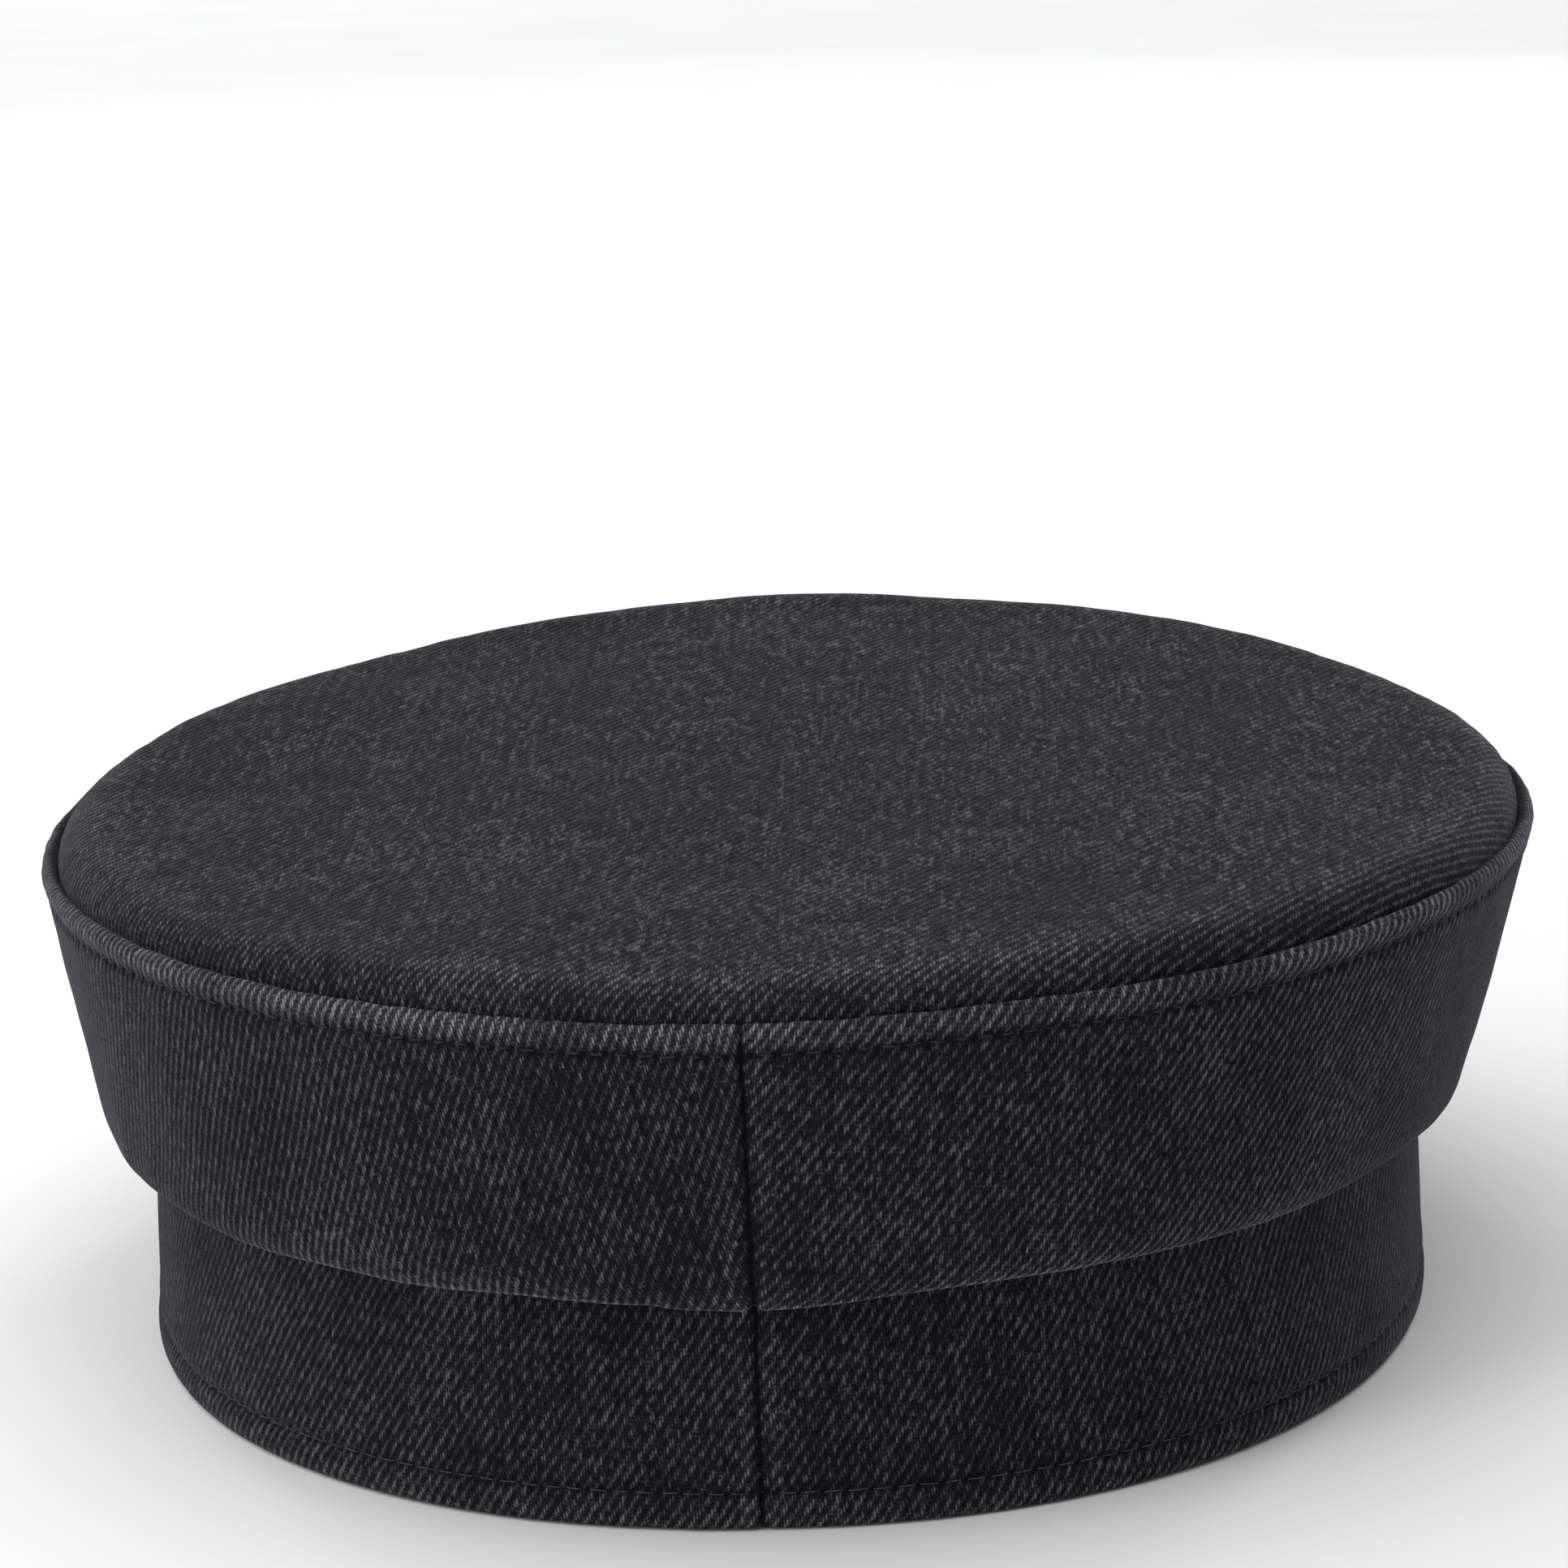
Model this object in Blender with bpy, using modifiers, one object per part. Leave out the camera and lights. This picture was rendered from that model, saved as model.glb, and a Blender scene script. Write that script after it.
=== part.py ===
# A baker boy cap in black denim: crown top, side band, head band and peak.
# Metres, +Z up. The head band's rim lies on z = 0, the peak points along -Y
# and the back seams lie on +Y. The origin is under the middle of the cap's whole length.

import math

import bmesh
import bpy
from mathutils import Matrix, Vector

MM = 0.001
DEGREE = math.pi / 180.0

# Head band: an upright oval ring that grips the head
BAND_HALF_WIDTH = 89.0 * MM
BAND_HALF_LENGTH = 98.0 * MM
BAND_SQUARENESS = 2.12      # 2 is a true ellipse, more is squarer
BAND_HEIGHT = 33.0 * MM
BAND_LEAN_IN = 1.4 * MM     # how far the top edge stands inside the rim
BAND_WALL = 2.6 * MM        # two layers of denim and the tape behind them

# Crown ridge: the widest oval, where the side band rolls over to the top seam.
# It overhangs the head band's rim by these amounts.
RIDGE_SIDE_OVERHANG = 16.5 * MM
RIDGE_BACK_OVERHANG = 6.0 * MM
RIDGE_FRONT_OVERHANG = 17.0 * MM
RIDGE_SQUARENESS = 1.88
RIDGE_WIDEST_FORWARD = 16.0 * MM    # the widest line lies this far in front of the head band's middle
RIDGE_TURN = -2.2 * DEGREE          # the soft crown sits turned a little on its band
RIDGE_RISE = 33.3 * MM              # the crest above the head band's top edge
RIDGE_SIDE_DROOP = 2.1 * MM         # the sides hang lower by this, front and back stand higher
RIDGE_BACK_DROOP = 1.0 * MM         # the back end is lower by this, and the front higher
RIDGE_ROLL = 3.6 * MM               # from the widest line in to the seam with the crown top

# Fold of the side band over the head band
FOLD_DROP = 2.0 * MM        # the fold hangs this far below its seat on the head band
FOLD_LEAN = 0.4 * MM        # and lower by this on the +X side
FOLD_OVERHANG = 7.2 * MM    # how far it stands out from the head band's top edge

# Crown top
CLOTH_WALL = 1.3 * MM       # denim with its backing, for the side band too
PUFF_HEIGHT = 7.7 * MM      # shoulder of the crown top above the ridge
SHOULDER_WIDTH = 10.1 * MM  # from the seam in to the shoulder
DOME_HEIGHT = 2.5 * MM      # middle of the crown top above its shoulder

# Clearance between pieces of cloth that are sewn together
SEAM_GAP = 0.3 * MM

# Back seams, pressed into the cloth of both bands
SEAM_DIP = 0.6 * MM
SEAM_HALF_WIDTH = 1.6 * MM

# Peak: a stiff curved plate sewn to the front of the head band
PEAK_DEPTH = 48.0 * MM          # from the head band to the front edge, on the middle line
PEAK_CORNER_DEPTH = 2.0 * MM    # the same at the corners
PEAK_CORNER_POWER = 0.62        # less is squarer at the corners, more is narrower
PEAK_HALF_SPREAD = 60.0 * DEGREE
PEAK_WALL = 3.2 * MM
PEAK_ROOT_HEIGHT = 8.6 * MM     # top face at the head band, on the middle line
PEAK_DROP = 4.6 * MM            # the front edge is lower than the root by this
PEAK_CORNER_DROP = 3.0 * MM     # the corners at the head band are lower than the middle by this

# Sizes that follow from the ones above
SEAT_HEIGHT = BAND_HEIGHT + SEAM_GAP
RIDGE_BACK_LENGTH = BAND_HALF_LENGTH + RIDGE_BACK_OVERHANG
RIDGE_FRONT_LENGTH = BAND_HALF_LENGTH + RIDGE_FRONT_OVERHANG
FRONT_END = BAND_HALF_LENGTH + SEAM_GAP + PEAK_DEPTH
MIDDLE_OF_LENGTH = 0.5 * (RIDGE_BACK_LENGTH - FRONT_END)

COLUMNS = 72            # columns of faces round the cap
PEAK_COLUMNS = 30
PEAK_ROWS = 6
BACK = math.pi / 2.0
FRONT = -math.pi / 2.0

# Head band, from its rim to its top edge.
# lean: share of the lean inwards, up: share of the height
HEAD_BAND_ROWS = (
    # name, lean, up
    ("rim", 0.00, 0.00),
    ("top of the upright foot", 0.00, 0.08),
    ("middle", 0.45, 0.54),
    ("top edge", 1.00, 1.00),
)

# Side band, from its inner edge on the head band and round the fold.
# out: share of the fold's overhang beyond the head band's top edge
# down: share of the fold's drop below the seat, up: share of the overhang above that
FOLD_ROWS = (
    # name, out, down, up
    ("inner edge on the head band", -0.33, 0.00, 0.00),
    ("leaving the head band", 0.04, 0.00, 0.00),
    ("under the fold", 0.28, 0.50, 0.00),
    ("lowest line of the fold", 0.52, 1.00, 0.00),
    ("bottom of the roll", 0.72, 1.00, 0.03),
    ("front of the roll", 0.90, 1.00, 0.22),
    ("top of the roll", 1.00, 1.00, 0.52),
)

# Wall of the side band, from the top of the fold's roll to the widest line.
# out: share of the way from the fold's outline to the ridge's, up: share of the height
WALL_ROWS = (
    # name, out, up
    ("lower wall", 0.15, 0.13),
    ("lower middle of the wall", 0.33, 0.32),
    ("middle of the wall", 0.53, 0.52),
    ("upper wall", 0.74, 0.73),
    ("topstitch line", 0.92, 0.92),
)

# Ridge of the side band, from the widest line over the crest and down into the seam.
# inset: share of the roll inside the widest line, down: share of the roll below the crest
RIDGE_ROWS = (
    # name, inset, down
    ("widest line", 0.00, 0.62),
    ("outside of the crest", 0.10, 0.24),
    ("crest", 0.42, 0.00),
    ("inside of the crest", 0.76, 0.13),
    ("top of the seam", 0.95, 0.48),
    ("seam", 1.00, 0.90),
    ("end of the seam allowance", 1.00, 1.45),
)

# Crown top, from the end of its seam allowance up to its shoulder.
# inset: share of the shoulder's width inside the seam, rise: share of the puff above the crest
CROWN_ALLOWANCE_DOWN = (1.45, 0.55)     # shares of the ridge's roll below the crest
PUFF_ROWS = (
    # name, inset, rise
    ("above the seam", 0.02, 0.05),
    ("steep side", 0.12, 0.36),
    ("turn of the shoulder", 0.33, 0.68),
    ("shoulder", 0.62, 0.89),
    ("inside of the shoulder", 1.00, 1.00),
)
DOME_SHARES = (0.24, 0.50, 0.76)        # rings on the way from the shoulder to the middle


def clear_scene():
    for old in list(bpy.data.objects):
        bpy.data.objects.remove(old, do_unlink=True)


def denim(name, colour, roughness):
    """One Principled material for a piece."""
    material = bpy.data.materials.new(name)
    material.use_nodes = True
    shader = material.node_tree.nodes["Principled BSDF"]
    shader.inputs["Base Color"].default_value = (*colour, 1.0)
    shader.inputs["Roughness"].default_value = roughness
    shader.inputs["Metallic"].default_value = 0.0
    return material


def signed_power(value, power):
    return math.copysign(abs(value) ** power, value)


def oval(angle, half_width, back_length, front_length, squareness, widest_forward=0.0):
    """A point on an oval whose back and front halves may differ in length."""
    across = signed_power(math.cos(angle), 2.0 / squareness)
    along = signed_power(math.sin(angle), 2.0 / squareness)
    middle = -widest_forward
    length = back_length - middle if along >= 0.0 else front_length + middle
    return Vector((half_width * across, middle + length * along, 0.0))


def band_outline(angle, lean=0.0):
    """The head band's outer face, moved inwards by the lean."""
    half_length = BAND_HALF_LENGTH - lean
    return oval(angle, BAND_HALF_WIDTH - lean, half_length, half_length, BAND_SQUARENESS)


def ridge_outline(angle):
    """The crown's widest line, turned about its own middle."""
    point = oval(angle, BAND_HALF_WIDTH + RIDGE_SIDE_OVERHANG, RIDGE_BACK_LENGTH, RIDGE_FRONT_LENGTH,
                 RIDGE_SQUARENESS, RIDGE_WIDEST_FORWARD)
    middle = Vector((0.0, -RIDGE_WIDEST_FORWARD, 0.0))
    return middle + Matrix.Rotation(RIDGE_TURN, 3, "Z") @ (point - middle)


def moved_out(point, distance):
    """The point moved away from the cap's upright axis, at its own height."""
    flat = Vector((point.x, point.y, 0.0))
    return point + flat.normalized() * distance


def crest_level(angle, point):
    """Height of the ridge crest, lower at the sides and at the back."""
    droop = RIDGE_SIDE_DROOP * math.cos(2.0 * angle)
    return SEAT_HEIGHT + RIDGE_RISE - droop - RIDGE_BACK_DROOP * point.y / RIDGE_BACK_LENGTH


def fold_point(angle, out, down, up):
    """A point of the fold by its shares of the overhang and of the drop."""
    inner = band_outline(angle, BAND_LEAN_IN)
    point = moved_out(inner, FOLD_OVERHANG * out)
    drop = FOLD_DROP + FOLD_LEAN * inner.x / BAND_HALF_WIDTH
    point.z = SEAT_HEIGHT - drop * down + FOLD_OVERHANG * up
    return point


def ridge_point(angle, inset, down):
    """A point of the ridge by its shares of the roll."""
    outer = ridge_outline(angle)
    point = moved_out(outer, -RIDGE_ROLL * inset)
    point.z = crest_level(angle, outer) - RIDGE_ROLL * down
    return point


def wall_point(angle, out, up):
    """A point between the top of the fold's roll and the widest line."""
    low = fold_point(angle, *FOLD_ROWS[-1][1:])
    high = ridge_point(angle, *RIDGE_ROWS[0][1:])
    point = low.lerp(high, out)
    point.z = low.z + (high.z - low.z) * up
    return point


def seam_dip(angle):
    """How far the back seam pulls the cloth in at this angle."""
    distance = abs(angle - BACK) * BAND_HALF_LENGTH
    return SEAM_DIP * max(0.0, 1.0 - distance / SEAM_HALF_WIDTH)


def column_angles():
    """Even columns round the cap, with one more on each side of the back seam."""
    even = [2.0 * math.pi * index / COLUMNS for index in range(COLUMNS)]
    beside = SEAM_HALF_WIDTH / BAND_HALF_LENGTH
    return sorted(even + [BACK - beside, BACK + beside])


def new_object(name, mesh, material, collection):
    """An object on the mesh, with its material, in the cap's collection."""
    mesh.materials.append(material)
    mesh.shade_smooth()
    piece = bpy.data.objects.new(name, mesh)
    piece.location.y = -MIDDLE_OF_LENGTH
    collection.objects.link(piece)
    return piece


def ring_mesh(name, rings, middle=None):
    """An open surface through closed rings of points, closed on a middle point where one is given.

    The rings run from the lower outer edge up or inwards, so the faces look outwards.
    """
    work = bmesh.new()
    rows = [[work.verts.new(point) for point in ring] for ring in rings]
    count = len(rows[0])
    for lower, upper in zip(rows, rows[1:]):
        for index in range(count):
            after = (index + 1) % count
            work.faces.new((lower[index], lower[after], upper[after], upper[index]))
    if middle is not None:
        pole = work.verts.new(middle)
        last = rows[-1]
        for index in range(count):
            work.faces.new((last[index], last[(index + 1) % count], pole))
    mesh = bpy.data.meshes.new(name)
    work.to_mesh(mesh)
    work.free()
    return mesh


def add_wall(piece, thickness):
    """Give an open surface its thickness, on the inside of the surface."""
    wall = piece.modifiers.new("wall", "SOLIDIFY")
    wall.thickness = thickness
    wall.offset = -1.0
    wall.use_even_offset = True
    return piece


def make_head_band(material, collection):
    """The upright ring, with a straight foot so that its rim is flat."""
    rings = []
    for name, lean, up in HEAD_BAND_ROWS:
        rise = Vector((0.0, 0.0, BAND_HEIGHT * up))
        rings.append([moved_out(band_outline(angle, BAND_LEAN_IN * lean) + rise, -seam_dip(angle))
                      for angle in column_angles()])
    piece = new_object("head_band", ring_mesh("head_band", rings), material, collection)
    return add_wall(piece, BAND_WALL)


def make_side_band(material, collection):
    """The crown's flaring side, from over the head band, round the fold and over the ridge."""
    rings = []
    for point_at, rows in ((fold_point, FOLD_ROWS), (wall_point, WALL_ROWS), (ridge_point, RIDGE_ROWS)):
        for name, *shares in rows:
            rings.append([moved_out(point_at(angle, *shares), -seam_dip(angle))
                          for angle in column_angles()])
    piece = new_object("side_band", ring_mesh("side_band", rings), material, collection)
    return add_wall(piece, CLOTH_WALL)


def make_crown_top(material, collection):
    """The puffed top panel, with its edge turned down against the side band's seam."""
    rings = []
    for down in CROWN_ALLOWANCE_DOWN:
        rings.append([moved_out(ridge_point(angle, 1.0, down), -SEAM_GAP - seam_dip(angle))
                      for angle in column_angles()])
    for name, inset, rise in PUFF_ROWS:
        ring = [moved_out(ridge_point(angle, 1.0, 0.0), -SEAM_GAP - SHOULDER_WIDTH * inset)
                for angle in column_angles()]
        for point in ring:
            point.z += PUFF_HEIGHT * rise
        rings.append(ring)
    shoulder = rings[-1]
    middle = sum(shoulder, Vector()) / len(shoulder)
    for share in DOME_SHARES:
        rings.append([dome_point(point, middle, share) for point in shoulder])
    top = dome_point(middle, middle, 1.0)
    piece = new_object("crown_top", ring_mesh("crown_top", rings, top), material, collection)
    return add_wall(piece, CLOTH_WALL)


def dome_point(shoulder_point, middle, share):
    """A point on the way from the shoulder to the middle, on a low dome."""
    point = shoulder_point.lerp(middle, share)
    point.z += DOME_HEIGHT * (1.0 - (1.0 - share) ** 2)
    return point


def faceted_outline(angle):
    """The head band's outer face between two of its columns, where the peak is sewn on."""
    step = 2.0 * math.pi / COLUMNS
    before = math.floor(angle / step) * step
    return band_outline(before).lerp(band_outline(before + step), (angle - before) / step)


def peak_point(across, forward):
    """A point of the peak's top face.

    across runs from -1 at one corner to 1 at the other, forward from 0 at the head band
    to 1 at the front edge.
    """
    root = moved_out(faceted_outline(FRONT + across * PEAK_HALF_SPREAD), SEAM_GAP)
    bow = (1.0 - across ** 2) ** PEAK_CORNER_POWER
    reach = PEAK_CORNER_DEPTH + (PEAK_DEPTH - PEAK_CORNER_DEPTH) * bow
    point = root + Vector((0.0, -reach * forward, 0.0))
    point.z = (PEAK_ROOT_HEIGHT - PEAK_CORNER_DROP * across ** 2
               - PEAK_DROP * forward * reach / PEAK_DEPTH)
    return point


def make_peak(material, collection):
    """The peak's top face as a grid from the head band to its front edge, pushed down to its thickness."""
    work = bmesh.new()
    rows = []
    for row in range(PEAK_ROWS + 1):
        rows.append([work.verts.new(peak_point(2.0 * column / PEAK_COLUMNS - 1.0, row / PEAK_ROWS))
                     for column in range(PEAK_COLUMNS + 1)])
    for near, far in zip(rows, rows[1:]):
        for column in range(PEAK_COLUMNS):
            work.faces.new((near[column], far[column], far[column + 1], near[column + 1]))
    under = bmesh.ops.extrude_face_region(work, geom=work.faces[:])["geom"]
    under_points = [item for item in under if isinstance(item, bmesh.types.BMVert)]
    bmesh.ops.translate(work, verts=under_points, vec=(0.0, 0.0, -PEAK_WALL))
    bmesh.ops.recalc_face_normals(work, faces=work.faces)
    mesh = bpy.data.meshes.new("peak")
    work.to_mesh(mesh)
    work.free()
    return new_object("peak", mesh, material, collection)


def main():
    clear_scene()
    collection = bpy.data.collections.new("baker_boy_cap")
    bpy.context.scene.collection.children.link(collection)
    make_head_band(denim("head_band_denim", (0.018, 0.018, 0.021), 0.9), collection)
    make_side_band(denim("side_band_denim", (0.022, 0.022, 0.026), 0.9), collection)
    make_crown_top(denim("crown_top_denim", (0.034, 0.034, 0.041), 0.9), collection)
    make_peak(denim("peak_denim", (0.022, 0.022, 0.026), 0.9), collection)


main()
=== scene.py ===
# Baker boy cap in washed black denim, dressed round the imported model.
# Metres, +Z up, the peak towards -Y and the back seams towards +Y.

import functools
import math

import bpy
import numpy as np
from mathutils import Matrix, Vector, noise


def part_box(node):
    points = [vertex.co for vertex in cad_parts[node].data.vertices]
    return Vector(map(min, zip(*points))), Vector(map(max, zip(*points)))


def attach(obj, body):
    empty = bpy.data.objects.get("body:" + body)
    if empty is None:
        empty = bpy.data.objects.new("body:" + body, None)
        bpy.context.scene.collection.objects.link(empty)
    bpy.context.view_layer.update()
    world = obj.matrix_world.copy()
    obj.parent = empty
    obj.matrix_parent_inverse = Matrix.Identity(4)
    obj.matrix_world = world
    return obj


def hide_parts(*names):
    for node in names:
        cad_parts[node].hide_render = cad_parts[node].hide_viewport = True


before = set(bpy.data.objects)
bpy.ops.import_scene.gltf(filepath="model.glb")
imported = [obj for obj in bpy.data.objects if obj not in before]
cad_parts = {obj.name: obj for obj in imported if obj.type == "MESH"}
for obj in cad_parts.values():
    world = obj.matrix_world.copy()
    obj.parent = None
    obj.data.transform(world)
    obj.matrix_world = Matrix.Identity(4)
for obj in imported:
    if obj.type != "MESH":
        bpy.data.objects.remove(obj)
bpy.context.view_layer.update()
print("frame loaded:", sorted(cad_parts))

mm = 0.001
degree = math.pi / 180
bandLow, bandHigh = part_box("head_band")
middleY = (bandHigh.y + bandLow.y) / 2  # pieces are shaped round x = y = 0, then moved here


# Shapes: each piece of cloth is a grid of points, rows upwards and columns round the cap,
# from the back seam towards -X, which is to the right seen from outside.

def pointsOf(*numbers):
    return np.stack(numbers, axis=-1)


def oval(angles, halfWidth, backLength, frontLength, squareness, forward=0.0):
    across, along = [np.sign(share) * np.abs(share) ** (2 / squareness)
                     for share in (np.cos(angles), np.sin(angles))]
    length = np.where(along >= 0, backLength + forward, frontLength - forward)
    return pointsOf(halfWidth * across, length * along - forward, 0 * across)


def sizeOf(vectors):
    return np.linalg.norm(vectors, axis=-1)


def unit(vectors):
    return vectors / np.maximum(sizeOf(vectors)[..., None], 1e-12)


def movedOut(points, distance):
    return points + unit(points * (1, 1, 0)) * distance


def lifted(points, height):
    flat = 0 * points[:, 0]
    return points + pointsOf(flat, flat, flat + height)


def smoothed(rows, steps):
    # finer rows on a smooth curve through the given ones
    gaps = sizeOf(np.diff(rows, axis=0)).mean(axis=1)
    knots = np.append(0, np.cumsum(np.sqrt(gaps)))
    slopes = np.gradient(rows, knots, axis=0)
    fine = []
    for k, count in enumerate(steps):
        width = knots[k + 1] - knots[k]
        for s in np.arange(count) / count:
            fine.append((2 * s**3 - 3 * s**2 + 1) * rows[k] + (s**3 - 2 * s**2 + s) * width * slopes[k]
                        + (3 * s**2 - 2 * s**3) * rows[k + 1] + (s**3 - s**2) * width * slopes[k + 1])
    fine.append(rows[-1])
    return np.array(fine)


def normalsOf(rows):
    across = np.roll(rows, -1, axis=1) - np.roll(rows, 1, axis=1)
    return unit(np.cross(across, np.gradient(rows, axis=0)))


def runAlong(points):
    # length along a line to each of its points, or up each column of rows
    steps = sizeOf(np.diff(points, axis=0))
    return np.concatenate([0 * steps[:1], np.cumsum(steps, axis=0)])


def runUp(rows, start):
    run = runAlong(rows)
    return run - run[start]


def runRound(points):
    # length along a closed line to each of its points, and the whole length
    run = runAlong(np.append(points, points[:1], axis=0))
    return run[:-1], run[-1]


def lineAt(rows, run, level):
    # the line across all columns where their length reaches a level
    row, columns = np.clip((run <= level).sum(axis=0) - 1, 0, len(rows) - 2), np.arange(rows.shape[1])
    low, high = (row, columns), (row + 1, columns)
    share = (level - run[low]) / (run[high] - run[low])
    return rows[low] + (rows[high] - rows[low]) * share[:, None]


def noiseAt(points, amount, size, seed):
    # noise of a size in millimetres; each seed reads another place of it
    flat = (points.reshape(-1, 3) / (size * mm) + seed * 7.31).tolist()
    return amount * np.array([noise.noise(point) for point in flat]).reshape(points.shape[:-1])


def hump(distance, halfWidth):
    return np.exp(-(distance / halfWidth) ** 2)


def humps(distance, *shapes):
    # swells, dips or marks beside a line: height or strength, place and half width of each
    return sum(height * hump(distance - place, halfWidth) for height, place, halfWidth in shapes)


def ramp(value, low, high):
    share = np.clip((value - low) / (high - low), 0, 1)
    return share * share * (3 - 2 * share)


def raised(rows, relief, directions, drift=(0.5, 52), held=20):
    # relief in millimetres, then one slow drift for all pieces, so that neighbours stay together
    points = rows + directions * relief[..., None] * mm
    free = ramp(points[..., 2], 0, held * mm)[..., None]
    return points + pointsOf(*[noiseAt(points, *drift, seed) for seed in (1, 2, 3)]) * free * mm


# Cloth coordinates, in metres of flat cloth: across the warp first, then along it.

panelShift = 0.31  # between two panels, so that each shows other threads


def unrolled(strip, low, middle, high, curve, offGrain):
    # a strip as it was cut, its warp upright in the middle; flare beyond the cut's curve is eased in
    lengths = [sizeOf(np.diff(strip[row], axis=0)) for row in (low, middle, high)]
    height = np.abs(runUp(strip, low)[high]).mean()
    heading = np.append(0, np.cumsum((lengths[0] - lengths[2]) / height * curve))
    heading -= heading[len(heading) // 2] + offGrain
    between = (heading[1:] + heading[:-1]) / 2
    x, y = [np.append(0, np.cumsum(lengths[1] * share)) for share in (np.cos(between), np.sin(between))]
    up = runUp(strip, middle)
    return pointsOf(x - up * np.sin(heading), y + up * np.cos(heading))


def clothSides(rows, cuts, low, middle, high, curve=0, offGrain=0):
    # cloth coordinates at the left and right side of each column of faces, cut open at the seams
    count = rows.shape[1]
    left, right = np.zeros((*rows.shape[:2], 2)), np.zeros((*rows.shape[:2], 2))
    for number, (start, end) in enumerate(zip(cuts, [*cuts[1:], count + cuts[0]])):
        columns = np.arange(start, end + 1) % count
        flat = unrolled(rows[:, columns], low, middle, high, curve, offGrain) + panelShift * number
        left[:, columns[:-1]] = flat[:, :-1]
        right[:, columns[:-1]] = flat[:, 1:]
    return left, right


def stitchSides(run, length, pitch, side):
    # stitches counted along a line, and the distance from that line
    count = round(length / pitch)
    ends = ((run, side), (np.append(run[1:], length), np.roll(side, -1, axis=1)))
    return [pointsOf(place / length * count + 0 * side, beside) for place, beside in ends]


# Walls: the outer rows, a round rim, the inner rows and the other rim make a closed section.

rimTurns = (45 * degree, 90 * degree, 135 * degree)


def walled(rows, wall, back):
    normals = normalsOf(rows)
    inner = rows - normals * wall
    rims = []
    for end, beside in ((-1, -2), (0, 1)):
        beyond = unit(rows[end] - rows[beside])
        rims += [(rows[end] + inner[end]) / 2
                 + wall / 2 * (math.cos(turn) * normals[end] + math.sin(turn) * beyond) for turn in rimTurns]
    return np.concatenate([rows, rims[:3], inner[back], rims[:2:-1]])


def carriedRound(flat, wall, back):
    # coordinates below and above each row of faces, carried on round the rims and down the inside
    reach = wall / 2 * rimTurns[0]
    upward, downward = unit(flat[-1] - flat[-2]), unit(flat[0] - flat[1])
    over = [flat[-1] + upward * reach * k for k in (1, 2, 3)]
    inside = [flat[-1] + upward * (4 * reach + sizeOf(flat[-1] - flat[row])[:, None])
              for row in back]
    under = [flat[0] + downward * reach * k for k in (3, 2, 1)]
    low = np.array([*flat, *over, *inside, *under])
    high = np.roll(low, -1, axis=0)
    cut = len(flat) + 2 + len(back)
    high[cut] = low[cut] + upward * reach
    return low, high


def newObject(name, data):
    thing = bpy.data.objects.new(name, data)
    bpy.context.scene.collection.objects.link(thing)
    return thing


def newPiece(name, points, faces, maps, marks, material):
    # a mesh object from arrays, with its maps of coordinates and its marks of wear, of painted shade and of nap
    mesh = bpy.data.meshes.new(name)
    mesh.from_pydata((points + (0, middleY, 0)).tolist(), [], faces)
    for map, corners in maps.items():
        mesh.uv_layers.new(name=map).data.foreach_set("uv", corners.astype(np.float32).ravel())
    for mark, values in marks.items():
        mesh.attributes.new(mark, "FLOAT", "POINT").data.foreach_set("value", values.astype(np.float32).ravel())
    mesh.materials.append(material)
    mesh.shade_smooth()
    return newObject(name, mesh)


def quadsOf(numbers, order=(0, 1, 2, 3)):
    # the faces of a grid of point numbers; the order of their corners turns them outwards
    corners = numbers[:-1, :-1], numbers[:-1, 1:], numbers[1:, 1:], numbers[1:, :-1]
    return pointsOf(*[corners[k] for k in order]).reshape(-1, 4)


def newStrip(name, rows, wall, thin, maps, marks, material):
    # a ring of cloth with its thickness; the inside keeps every thin-th row
    last = len(rows) - 1
    back = [*range(last, 0, -thin), 0]
    points = walled(rows, wall, back)
    numbers = np.arange(points.size // 3).reshape(points.shape[:2])
    corners = {}
    for map, sides in maps.items():
        (lowLeft, highLeft), (lowRight, highRight) = [carriedRound(side, wall, back) for side in sides]
        corners[map] = np.stack([lowLeft, lowRight, highRight, highLeft], axis=2)
    sources = [*range(last + 1), *[last] * 3, *back, *[0] * 3]
    shades = {mark: values[sources] for mark, values in marks.items()}
    faces = quadsOf(np.pad(numbers, (0, 1), mode="wrap")).tolist()
    return newPiece(name, points.reshape(-1, 3), faces, corners, shades, material)


# Materials

def linear(hexColour):
    values = [int(hexColour[k:k + 2], 16) / 255 for k in (1, 3, 5)]
    return tuple(v / 12.92 if v <= 0.04045 else ((v + 0.055) / 1.055) ** 2.4 for v in values) + (1.0,)


def addNode(tree, kind, values=(), operation=None, stops=(), **settings):
    # values are sockets, nodes or plain values, by the number or name of the input; stops are a ramp's
    node = tree.nodes.new(kind if "Node" in kind else "ShaderNode" + kind)
    if operation:
        node.operation = operation
    for setting, value in settings.items():
        setattr(node, setting, value)
    for key, value in (values.items() if isinstance(values, dict) else enumerate(values)):
        if isinstance(value, bpy.types.Node):
            value = value.outputs[0]
        if isinstance(value, bpy.types.NodeSocket):
            tree.links.new(value, node.inputs[key])
        else:
            node.inputs[key].default_value = value
    for position, colour in stops[1:-1]:
        node.color_ramp.elements.new(position).color = colour
    for end in (0, -1) if stops else ():
        node.color_ramp.elements[end].position, node.color_ramp.elements[end].color = stops[end]
    return node


def newMaterial(name):
    material = bpy.data.materials.new(name)
    material.use_nodes = True
    material.node_tree.nodes.clear()
    return material, functools.partial(addNode, material.node_tree)


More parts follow.
